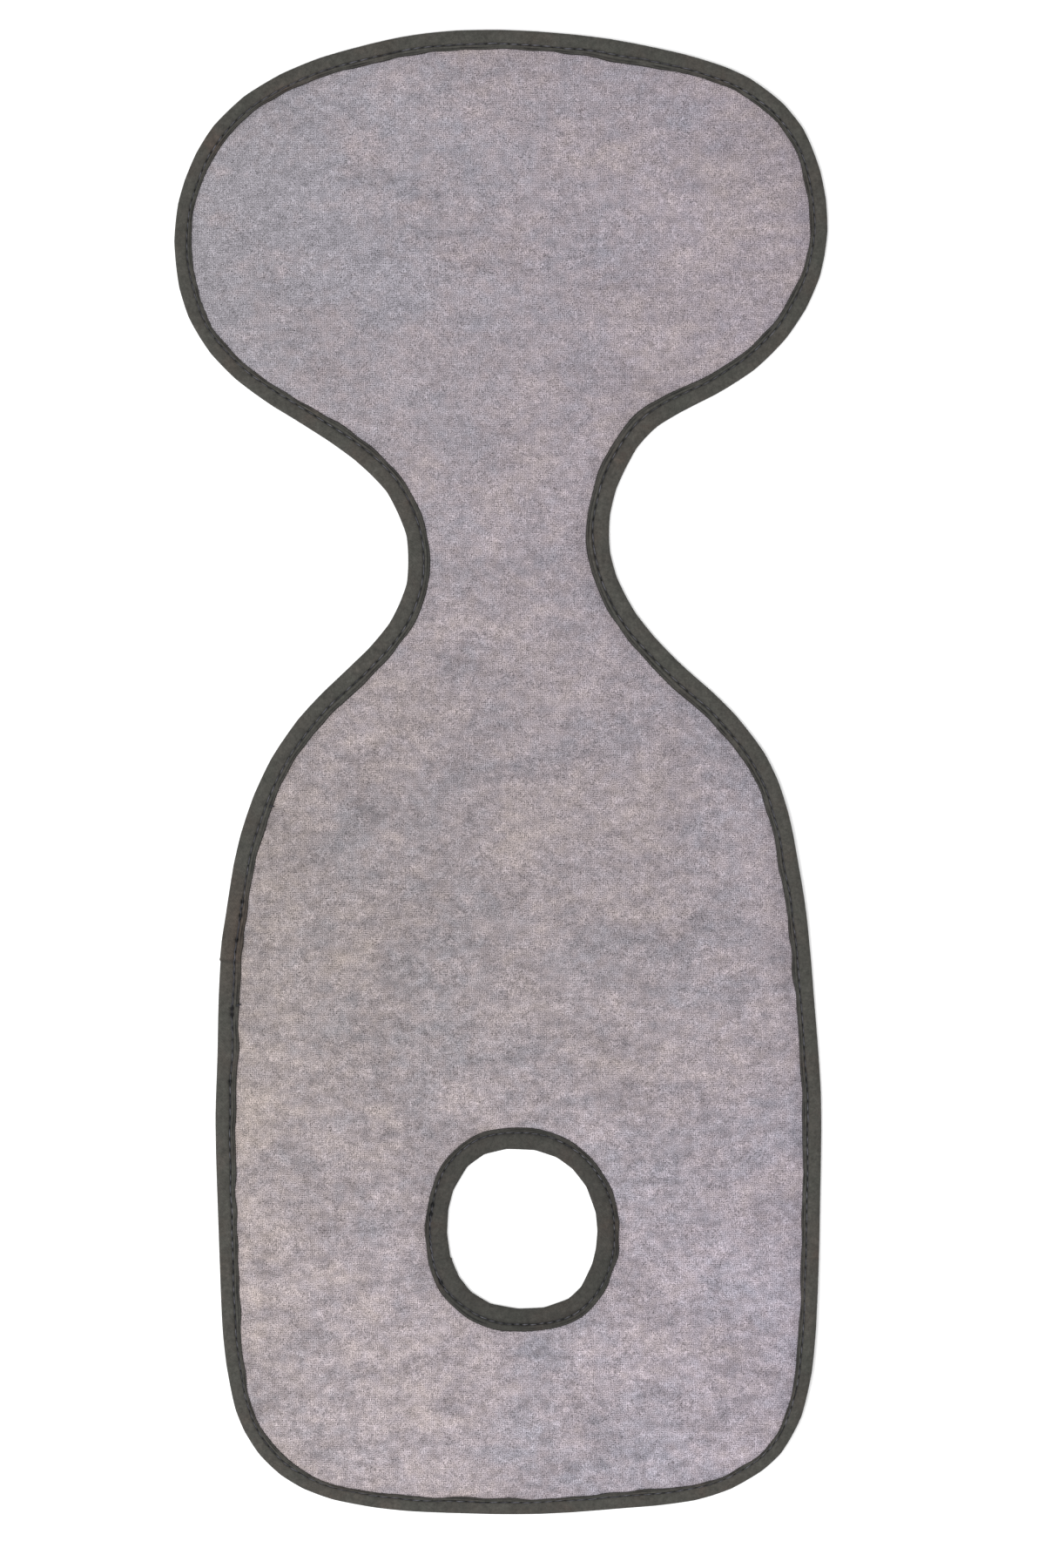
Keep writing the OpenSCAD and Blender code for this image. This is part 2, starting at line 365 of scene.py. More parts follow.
class Nodes:
    """A material's node tree, with short calls for the nodes that the cloths share."""

    def __init__(self, name):
        self.material = bpy.data.materials.new(name)
        self.material.use_nodes = True
        self.tree = self.material.node_tree
        self.shader = self.tree.nodes["Principled BSDF"]
        self.place = self.node("ShaderNodeTexCoord").outputs["Object"]

    def node(self, kind, **settings):
        made = self.tree.nodes.new(kind)
        for name, value in settings.items():
            setattr(made, name, value)
        return made

    def put(self, value, socket):
        """Links or sets a socket, whichever the value calls for."""
        if isinstance(value, bpy.types.NodeSocket):
            self.tree.links.new(value, socket)
        else:
            socket.default_value = value

    def math(self, operation, *values):
        made = self.node("ShaderNodeMath", operation=operation)
        for value, socket in zip(values, made.inputs):
            self.put(value, socket)
        return made.outputs[0]

    def vector(self, operation, *values):
        made = self.node("ShaderNodeVectorMath", operation=operation)
        for value, socket in zip(values, made.inputs):
            self.put(value, socket)
        return made.outputs[0]

    def noise(self, size, stretch=(1, 1, 1), detail=2, roughness=0.5, output="Fac"):
        """Noise from 0 to 1 whose blotches are about size metres across."""
        made = self.node("ShaderNodeTexNoise", noise_dimensions="3D")
        scale = tuple(s / size for s in stretch)
        self.put(self.vector("MULTIPLY", self.place, scale), made.inputs["Vector"])
        made.inputs["Scale"].default_value = 1
        made.inputs["Detail"].default_value = detail
        made.inputs["Roughness"].default_value = roughness
        return made.outputs[output]

    def wander(self, size, reach):
        """The place, moved about by up to reach in waves about size metres long."""
        shift = self.noise(size, detail=1, output="Color")
        shift = self.vector("SUBTRACT", shift, (0.5, 0.5, 0.5))
        return self.vector("ADD", self.place, self.vector("MULTIPLY", shift, (reach,) * 3))

    def ribs(self, place, pitch, direction, distortion=0.0):
        """Ribs from 0 to 1 that repeat every pitch metres along a direction."""
        made = self.node("ShaderNodeTexWave", wave_type="BANDS", bands_direction=direction)
        self.put(self.vector("MULTIPLY", place, (1 / pitch,) * 3), made.inputs["Vector"])
        made.inputs["Scale"].default_value = ONE_WAVE
        made.inputs["Distortion"].default_value = distortion
        return made.outputs["Fac"]

    def levels(self, value, low, high, to_low=0, to_high=1):
        """value, moved from low..high to to_low..to_high, and held there."""
        made = self.node("ShaderNodeMapRange")
        for source, name in (
            (value, "Value"), (low, "From Min"), (high, "From Max"),
            (to_low, "To Min"), (to_high, "To Max"),
        ):
            self.put(source, made.inputs[name])
        return made.outputs[0]

    def parts(self, vector):
        made = self.node("ShaderNodeSeparateXYZ")
        self.put(vector, made.inputs[0])
        return made.outputs

    def about_one(self, value, amount):
        """A value round 0.5, as a factor round 1."""
        return self.math("MULTIPLY_ADD", value, 2 * amount, 1 - amount)

    def product(self, *values):
        total = values[0]
        for value in values[1:]:
            total = self.math("MULTIPLY", total, value)
        return total

    def ramp(self, value, *stops):
        """Colours at places from 0 to 1."""
        made = self.node("ShaderNodeValToRGB")
        while len(made.color_ramp.elements) < len(stops):
            made.color_ramp.elements.new(0.5)
        for element, (place, colour) in zip(made.color_ramp.elements, stops):
            element.position = place
            element.color = colour
        self.put(value, made.inputs[0])
        return made.outputs[0]

    def mix(self, share, a, b):
        made = self.node("ShaderNodeMix", data_type="RGBA")
        self.put(share, made.inputs["Factor"])
        self.put(a, made.inputs["A"])
        self.put(b, made.inputs["B"])
        return made.outputs["Result"]

    def shaded(self, colour, factor):
        """A colour times a factor."""
        made = self.node("ShaderNodeVectorMath", operation="SCALE")
        self.put(colour, made.inputs[0])
        self.put(factor, made.inputs["Scale"])
        return made.outputs[0]

    def attribute(self, name):
        return self.node("ShaderNodeAttribute", attribute_name=name).outputs["Fac"]

    def bump(self, height, distance, strength=1.0):
        made = self.node("ShaderNodeBump")
        made.inputs["Strength"].default_value = strength
        made.inputs["Distance"].default_value = distance
        self.put(height, made.inputs["Height"])
        self.put(made.outputs[0], self.shader.inputs["Normal"])

    def finish(self, colour, **values):
        """Sets the colour, and plain values on the shader's own sockets."""
        self.put(colour, self.shader.inputs["Base Color"])
        for name, value in values.items():
            self.put(value, self.shader.inputs[name.replace("_", " ")])
        return self.material


def heathered_terry():
    """Grey-lilac terry: a close grid of loops about a millimetre apart, uneven from loop
    to loop, under level blotches of cooler and warmer yarn, and dark level streaks of painted
    shade from faint wrinkles."""
    n = Nodes("heathered_terry")
    place = n.wander(8 * MM, 1.5 * MM)
    columns = n.math("SUBTRACT", n.ribs(place, 1.0 * MM, "X"), 0.5)
    rows = n.math("SUBTRACT", n.ribs(place, 1.03 * MM, "Y"), 0.5)
    columns = n.math("MULTIPLY", columns, n.levels(n.noise(2.2 * MM), 0.35, 0.7, 0, 2))
    rows = n.math("MULTIPLY", rows, n.levels(n.noise(2.6 * MM), 0.35, 0.7, 0, 2))
    grid = n.math("ADD", columns, rows)
    loops = n.noise(0.5 * MM, detail=1.5, roughness=0.7)
    pile = n.math("MULTIPLY_ADD", grid, 0.075, loops)

    # Towards the seat end the blotches stand out more, and the face is paler there, which is
    # painted light
    x, y, _ = n.parts(n.place)
    blotch_contrast = n.levels(y, 0.20, -0.20, 0.8, 1.25)
    blotch = n.noise(4.6 * MM, stretch=(0.85, 1.1, 1), detail=1)
    blotch = n.math("MULTIPLY_ADD", blotch, 0.7, -0.35)
    patch = n.noise(15 * MM, stretch=(0.65, 1.3, 1), detail=1)
    patch = n.math("MULTIPLY_ADD", patch, 0.38, -0.19)
    blotches = n.math("MULTIPLY_ADD", n.math("ADD", blotch, patch), blotch_contrast, 1.0)
    # Dark level streaks: painted shade of faint wrinkles
    streak = n.noise(9 * MM, stretch=(0.3, 1.3, 1), detail=3)
    shade = n.product(
        n.about_one(pile, 1.7),
        n.about_one(n.noise(2.2 * MM, detail=1), 0.24),
        blotches,
        n.about_one(n.noise(60 * MM, stretch=(0.7, 1.2, 1), detail=1), 0.12),
        n.levels(streak, 0.30, 0.44, 0.9, 1),
        n.levels(x, -0.15, 0.12, 0.965, 1),
        # painted light: brighter towards the seat end
        n.levels(y, -0.05, -0.34, 1, 1.19),
        n.levels(y, 0, 0.12, 1, 1.07),
    )
    warm = n.math("ADD", n.math("MULTIPLY", n.noise(55 * MM, detail=2), 0.5),
                  n.math("MULTIPLY", n.noise(6 * MM, detail=1), 0.3))
    warm = n.math("ADD", warm, n.math("MULTIPLY", patch, 0.9))
    warm = n.math("ADD", warm, n.math("MULTIPLY_ADD", x, n.levels(y, 0.05, 0.12, -0.35, 0.9), 0.1))
    warm = n.math("SUBTRACT", warm, n.levels(y, 0.14, 0.26, 0, 0.06))
    colour = n.ramp(
        warm, (0.3, looks(151, 147, 155)), (0.5, looks(155, 146, 151)),
        (0.7, looks(160, 149, 149)),
    )
    # The left side of the body has yellowed, and most of all in a band across its middle
    bluer = n.levels(x, -0.15, 0.15, -1, 0.4)
    bluer = n.math("MULTIPLY", bluer, n.levels(y, 0.05, -0.07, 0.7, 0.9))
    band = n.product(n.levels(y, 0.12, -0.07, 0, 0.5), n.levels(y, -0.13, -0.24, 1, 0))
    bluer = n.levels(n.math("SUBTRACT", bluer, band), -1.4, 0.36)
    colour = n.vector("MULTIPLY", colour, n.mix(bluer, (1, 1, 0.92, 1), (1, 1, 1.045, 1)))
    n.bump(pile, 0.35 * MM, 0.35)
    return n.finish(n.shaded(colour, shade), Roughness=0.95, Specular_IOR_Level=MATT)


def folded_tape():
    """Fine twill tape, a dark olive grey that drifts browner and greener along it."""
    n = Nodes("twill_tape")
    lay = n.node("ShaderNodeUVMap", uv_map="tape").outputs[0]
    drift = n.noise(22 * MM, detail=5, roughness=0.65)
    colour = n.ramp(
        drift, (0.34, looks(71, 71, 66)), (0.5, looks(72, 70.5, 66)),
        (0.62, looks(74, 70.5, 65.5)), (0.74, looks(79, 70, 64)),
    )
    colour = n.mix(n.attribute("warm"), colour, looks(79, 70, 63))
    twill = n.ribs(n.vector("ADD", lay, n.vector("MULTIPLY", n.place, (0.15,) * 3)),
                   0.55 * MM, "DIAGONAL", distortion=1.5)
    fuzz = n.noise(0.9 * MM, detail=2, roughness=0.6)
    weave = n.math("ADD", n.math("MULTIPLY", twill, 0.12), n.math("MULTIPLY", fuzz, 0.88))
    shade = n.product(
        n.about_one(weave, 0.6),
        n.about_one(n.noise(2.4 * MM, detail=1), 0.38),
        n.about_one(n.noise(9 * MM), 0.22),
    )
    colour = n.shaded(colour, shade)
    # Painted shade: the tape is mixed towards near-black in its grooves, seam channel, needle
    # holes and folds
    colour = n.mix(n.math("MULTIPLY", n.attribute("painted_shade_and_tone"), 0.72), colour, looks(18, 18, 19))
    n.bump(weave, 0.10 * MM, 0.5)
    return n.finish(colour, Roughness=0.85, Specular_IOR_Level=MATT)


def twisted_thread():
    """Slate sewing thread."""
    n = Nodes("slate_thread")
    colour = n.ramp(n.noise(2.0 * MM, detail=2), (0.35, looks(84, 84, 91)),
                    (0.65, looks(112, 111, 119)))
    # Painted shade: the thread is mixed towards near-black, most where it dives into the needle's
    # holes
    colour = n.mix(n.math("MULTIPLY", n.attribute("painted_shade_and_tone"), 0.85), colour, looks(16, 16, 19))
    n.bump(n.noise(0.25 * MM), 0.05 * MM, 0.5)
    return n.finish(colour, Roughness=0.6, Specular_IOR_Level=MATT)


def fibrefill():
    """White polyester fibre wadding: a tangle of fine crimped strands."""
    n = Nodes("fibre_wadding")
    strands = n.noise(2.2 * MM, stretch=(0.4, 1.6, 1), detail=4, roughness=0.7)
    colour = n.ramp(strands, (0.3, looks(205, 205, 200)), (0.7, looks(246, 246, 242)))
    n.bump(strands, 0.8 * MM, 0.7)
    return n.finish(colour, Roughness=0.9, Sheen_Weight=0.2)


def plain_weave():
    """Plain-woven backing: warp and weft cross over and under each other."""
    n = Nodes("plain_weave_backing")
    place = n.wander(20 * MM, 0.4 * MM)
    over = n.math("MAXIMUM", n.ribs(place, 0.7 * MM, "X"), n.ribs(place, 0.7 * MM, "Y"))
    slub = n.noise(1.4 * MM, stretch=(0.3, 1.4, 1), detail=2)
    weave = n.math("ADD", n.math("MULTIPLY", over, 0.5), n.math("MULTIPLY", slub, 0.5))
    colour = n.ramp(weave, (0.3, looks(104, 102, 104)), (0.8, looks(140, 137, 140)))
    colour = n.shaded(colour, n.about_one(n.noise(30 * MM, detail=2), 0.1))
    n.bump(weave, 0.15 * MM, 0.6)
    return n.finish(colour, Roughness=0.92, Sheen_Weight=0.1)


terry = heathered_terry()
tape_cloth = folded_tape()
thread_cloth = twisted_thread()
wadding_cloth = fibrefill()
backing_cloth = plain_weave()

# ---------------------------------------------------------------- making pieces


def new_mesh(name, co, faces):
    mesh = bpy.data.meshes.new(name)
    mesh.from_pydata(co.tolist(), [], faces)
    mesh.polygons.foreach_set("use_smooth", [True] * len(mesh.polygons))
    mesh.update()
    return mesh


def add_piece(name, co, faces, node, slot, material):
    """A piece that lies as the liner lies, rides on the liner and stands for a CAD node."""
    co = np.array(co, float)
    co[:, 2] += lift(co)
    piece = bpy.data.objects.new(name, new_mesh(name, co, faces))
    bpy.context.scene.collection.objects.link(piece)
    piece.data.materials.append(material)
    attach(piece, "root")
    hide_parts(node)
    return piece


def set_attribute(piece, name, values):
    """One number for each of a piece's points, for its material to read."""
    mark = piece.data.attributes.new(name, "FLOAT", "POINT")
    mark.data.foreach_set("value", np.asarray(values, np.float32).reshape(-1))


# ---------------------------------------------------------------- cloth layers


class Grid:
    """Square cells over the pad, with the outer corners moved onto the cloth's raw edge."""

    def __init__(self):
        low, high = edge.points.min(0) - GRID_CELL, edge.points.max(0) + GRID_CELL
        xs, ys = (np.arange(low[k], high[k], GRID_CELL) for k in (0, 1))
        co = np.stack(np.meshgrid(xs, ys, indexing="ij"), axis=-1).reshape(-1, 2)
        corner = np.arange(len(co)).reshape(len(xs), len(ys))
        cells = np.stack(
            [corner[:-1, :-1], corner[1:, :-1], corner[1:, 1:], corner[:-1, 1:]], axis=-1
        ).reshape(-1, 4)
        middles = co[cells].mean(1)
        inside = np.ones(len(cells), bool)
        for rim in (edge, hole):
            inside &= rim.nearest(middles)[1] > TUCK + GRID_CELL / 2
        used, cells = np.unique(cells[inside], return_inverse=True)
        self.cells = cells.reshape(-1, 4)
        self.measure(self.relaxed(co[used]))

    def measure(self, co):
        """Keeps the corners' places, and each one's nearest sample and depth from a rim."""
        self.co = co
        self.at = {rim: rim.nearest(co) for rim in (edge, hole)}

    def relaxed(self, co, rounds=12):
        """The corners with the border spread evenly along the cloth's raw edge, and the
        cells next to it evened out."""
        border = border_steps(self.cells)
        before, after = (np.zeros(len(co), int) for _ in range(2))
        before[border[:, 1]], after[border[:, 0]] = border[:, 0], border[:, 1]
        border = border[:, 0]
        depths = {rim: rim.nearest(co)[1] for rim in (edge, hole)}
        near = np.minimum(*depths.values()) < 4 * GRID_CELL
        near[border] = False
        steps = np.concatenate([self.cells[:, [k, (k + 1) % 4]] for k in range(4)])
        steps = np.concatenate([steps, steps[:, ::-1]])
        count = np.bincount(steps[:, 0], minlength=len(co))[:, None]
        own = {
            rim: border[depths[rim][border] == np.minimum(*depths.values())[border]]
            for rim in depths
        }
        for _ in range(rounds):
            total = np.zeros_like(co)
            np.add.at(total, steps[:, 0], co[steps[:, 1]])
            spread = (co[before] + 2 * co + co[after]) / 4
            co = np.where(near[:, None], total / count, co)
            for rim, corners in own.items():
                at, _ = rim.nearest(spread[corners])
                beside = ((spread[corners] - rim.points[at]) * rim.along[at]).sum(1)
                co[corners] = rim.place(at, TUCK) + rim.along[at] * beside[:, None]
        return co

    def finer(self):
        """The same grid with each cell cut into four."""
        fine = object.__new__(Grid)
        flat, fine.cells = subdivided(np.column_stack([self.co, 0 * self.co[:, 0]]), self.cells)
        fine.measure(flat[:, :2])
        return fine

    def past_tape(self, rim):
        """How far each corner is beyond a rim's tape, 0 under it."""
        at, depth = self.at[rim]
        return np.maximum(depth - rim.width[at], 0)


def border_steps(cells):
    """Directed sides that only one cell has."""
    steps = np.concatenate([cells[:, [k, (k + 1) % 4]] for k in range(4)])
    size = steps.max() + 1
    keys, turned = steps[:, 0] * size + steps[:, 1], steps[:, 1] * size + steps[:, 0]
    return steps[~np.isin(keys, turned)]


DIMPLE = 0.16 * MM
FOLDS = ((edge, 9 * MM, 0.42 * MM), (hole, 13 * MM, 0.55 * MM))    # rim, reach and height


class Relief:
    """The face's random low relief, which is the same on every grid: dimples all over, and
    small folds that run off each seam into the cloth and die out."""

    def __init__(self):
        self.dimples = plane_waves(28, 18 * MM, 60 * MM)
        self.folds = {
            rim: rim.waves((11 * MM, 38 * MM, 1)) * (0.55 + rim.waves((60 * MM, 200 * MM, 0.45)))
            for rim in (edge, hole)
        }

    def height(self, grid):
        """Height of the face as laid: held down under the tapes, then rising over the
        wadding."""
        rise, folds = np.ones(len(grid.co)), np.zeros(len(grid.co))
        for rim, reach, depth in FOLDS:
            off = grid.past_tape(rim)
            rise *= 1 - np.exp(-np.maximum(off - 0.2 * MM, 0) / PUFF_LENGTH)
            fold = self.folds[rim][grid.at[rim][0]]
            folds += depth * fold * np.exp(-off / reach) * smooth(0, 2 * MM, off)
        kx, ky, phase = self.dimples
        x, y = grid.co.T[:, :, None]
        dimple = np.cos(x * kx + y * ky + phase).sum(1) / math.sqrt(len(phase))
        held = FACE_HELD * rim_top
        return held + (pad_top - held) * rise + folds + DIMPLE * dimple * rise


def simulate(co, cells, pinned):
    """How far each corner moves when the cloth, which is pinned under the tapes and has a
    little length to spare, settles into soft dents and gathers."""
    mesh = new_mesh("face_sim", co, cells.tolist())
    piece = bpy.data.objects.new("face_sim", mesh)
    bpy.context.scene.collection.objects.link(piece)
    pins = piece.vertex_groups.new(name="held")
    pins.add(np.flatnonzero(pinned).tolist(), 1.0, "REPLACE")
    cloth = piece.modifiers.new("cloth", "CLOTH")
    settings = cloth.settings
    settings.vertex_group_mass = "held"
    settings.quality = 5
    settings.mass = 0.3
    settings.tension_stiffness = 15
    settings.compression_stiffness = 15
    settings.shear_stiffness = 7.5
    settings.bending_stiffness = 1
    settings.shrink_min = -SIM_SPARE
    settings.effector_weights.gravity = 0
    cloth.collision_settings.use_collision = False
    cloth.point_cache.frame_start = 1
    cloth.point_cache.frame_end = SIM_FRAMES
    for step in range(1, SIM_FRAMES + 1):
        bpy.context.scene.frame_set(step)
    settled = piece.evaluated_get(bpy.context.evaluated_depsgraph_get())
    after = np.empty(len(co) * 3)
    settled.data.vertices.foreach_get("co", after)
    bpy.data.objects.remove(piece)
    bpy.context.scene.frame_set(1)
    move = after.reshape(-1, 3) - co
    far = np.linalg.norm(move, axis=1)
    print(f"face settles by {far.mean() / MM:.3f} mm, {far.max() / MM:.2f} at most")
    return move * (np.minimum(far, SIM_CAP) / np.maximum(far, TINY))[:, None]


def subdivided(co, cells):
    """The same surface with one level of subdivision."""
    piece = bpy.data.objects.new("finer", new_mesh("finer", co, cells.tolist()))
    bpy.context.scene.collection.objects.link(piece)
    level = piece.modifiers.new("finer", "SUBSURF")
    level.levels = level.render_levels = 1
    mesh = piece.evaluated_get(bpy.context.evaluated_depsgraph_get()).to_mesh()
    out = np.empty(len(mesh.vertices) * 3)
    mesh.vertices.foreach_get("co", out)
    quads = np.empty(len(mesh.polygons) * 4, int)
    mesh.polygons.foreach_get("vertices", quads)
    bpy.data.objects.remove(piece)
    return out.reshape(-1, 3), quads.reshape(-1, 4)


def shell(top, bottom, cells):
    """A closed layer between two surfaces with the same cells."""
    count = len(top)
    sides = border_steps(cells)
    rim = np.stack([sides[:, 1], sides[:, 0], sides[:, 0] + count, sides[:, 1] + count], 1)
    faces = np.concatenate([cells, cells[:, ::-1] + count, rim])
    return np.concatenate([top, bottom]), faces.tolist()


def stacked(grid, height):
    return np.column_stack([grid.co, np.broadcast_to(height, len(grid.co))])


def make_layers():
    """Face, wadding and backing."""
    grid, relief = Grid(), Relief()
    fine = grid.finer()
    top = stacked(grid, relief.height(grid))
    fine_top = stacked(fine, relief.height(fine))
    under_tape = (grid.past_tape(edge) == 0) | (grid.past_tape(hole) == 0)
    move = simulate(top, grid.cells, under_tape)
    top += move
    fine_top += subdivided(move + stacked(grid, 0), grid.cells)[0] - stacked(fine, 0)
    fine_low = stacked(fine, fine_top[:, 2] - FACE_THICK)
    face = add_piece(
        "face_cloth", *shell(fine_top, fine_low, fine.cells), "face_fabric", "face_terry", terry
    )

    def backing_height(on):
        off = np.minimum(on.past_tape(edge), on.past_tape(hole))
        return BACKING_HELD * rim_top * np.exp(-off / (2 * MM))

    low = backing_height(fine)
    backing = add_piece(
        "backing_cloth",
        *shell(stacked(fine, low + BACKING_THICK), stacked(fine, low), fine.cells),
        "backing_fabric", "backing", backing_cloth,
    )

    fill_low = backing_height(grid) + BACKING_THICK + LAYER_GAP
    fill_top = np.maximum(top[:, 2] - FACE_THICK - LAYER_GAP, fill_low + LAYER_GAP)
    fill = add_piece(
        "wadding_fill", *shell(stacked(grid, fill_top), stacked(grid, fill_low), grid.cells),
        "wadding", "wadding", wadding_cloth,
    )


# ---------------------------------------------------------------- folded tapes

# The tape's section, from its inner edge on the face, over the folded edge, to its inner
# edge on the back, and back inside. Each row: depth as a share of the seam's depth, depth
# as a share of the lip beyond the seam, height as a share of the rim's, and painted shade.
LIP = (
    (1, 1.00, 0.66, 1.0), (1, 1.00, 0.78, 1.0), (1, 0.95, 0.87, 0.9), (1, 0.87, 0.92, 0.4),
    (1, 0.78, 0.95, 0), (1, 0.70, 0.91, 0.9), (1, 0.62, 0.88, 1.0), (1, 0.54, 0.91, 0.9),
    (1, 0.46, 0.98, 0), (1, 0.36, 1.00, 0),
)
SEAM = (
    (1, 0.26, 0.98, 0), (1, 0.17, 0.925, 0.4), (1, 0.08, 0.86, 0.6),
    (1, -0.04, 0.85, 0.6), (1, -0.13, 0.91, 0.2), (1, -0.24, 0.985, 0),
)
BAND = (
    (0.84, 0, 1.04, 0), (0.70, 0, 1.065, 0), (0.54, 0, 1.07, 0), (0.39, 0, 1.055, 0),
    (0.26, 0, 1.015, 0), (0.16, 0, 0.95, 0), (0.09, 0, 0.86, 0), (0.04, 0, 0.74, 0),
    (0.01, 0, 0.60, 0), (0.0, 0, 0.46, 0), (0.012, 0, 0.32, 0), (0.05, 0, 0.18, 0),
    (0.12, 0, 0.08, 0), (0.3, 0, 0, 0),
)
BACK = (
    (1, -0.3, 0.0, 0.1), (1, -0.12, 0.05, 0.6), (1, 0, 0.11, 0.9), (1, 0.12, 0.05, 0.6),
    (1, 0.3, 0.0, 0), (1, 1.0, 0.05, 0.5), (1, 0.98, 0.14, 0.5),
)
INSIDE = (
    (0.7, 0, 0.15, 1), (0.2, 0, 0.16, 1), (0.1, 0, 0.5, 1), (0.25, 0, 0.72, 1),
    (0.9, 0, 0.72, 1),
)
SECTION = np.array(LIP + SEAM + BAND + BACK + INSIDE)
ROWS = np.arange(len(SECTION))
PLEAT_ROWS = (ROWS >= 4) & (ROWS <= 8)
NEEDLE_ROWS = (ROWS == 12) | (ROWS == 13)
BACK_NEEDLE_ROW = ROWS == len(LIP + SEAM + BAND) + 2
TOP_ROWS = ROWS < len(LIP + SEAM) + 7       # the rows on the face side of the folded edge

# How far the tape rises or sinks at each feature, and how far the feature reaches
KINK_DIP = 0.22 * MM
KINK_REACH = 1.3 * MM
PUFF = 0.13 * MM
STITCH_PULL = 0.13 * MM
PULL_REACH = 1.4 * MM
NEEDLE_HOLE = 0.45 * MM
BESIDE_HOLE = 0.15 * MM
BACK_HOLE = 0.3 * MM
GAPE_DIP = 0.5 * MM
GAPE_REACH = 1.0 * MM
UNEVEN_LIP = 0.07 * MM
END_STEP = 0.3 * MM


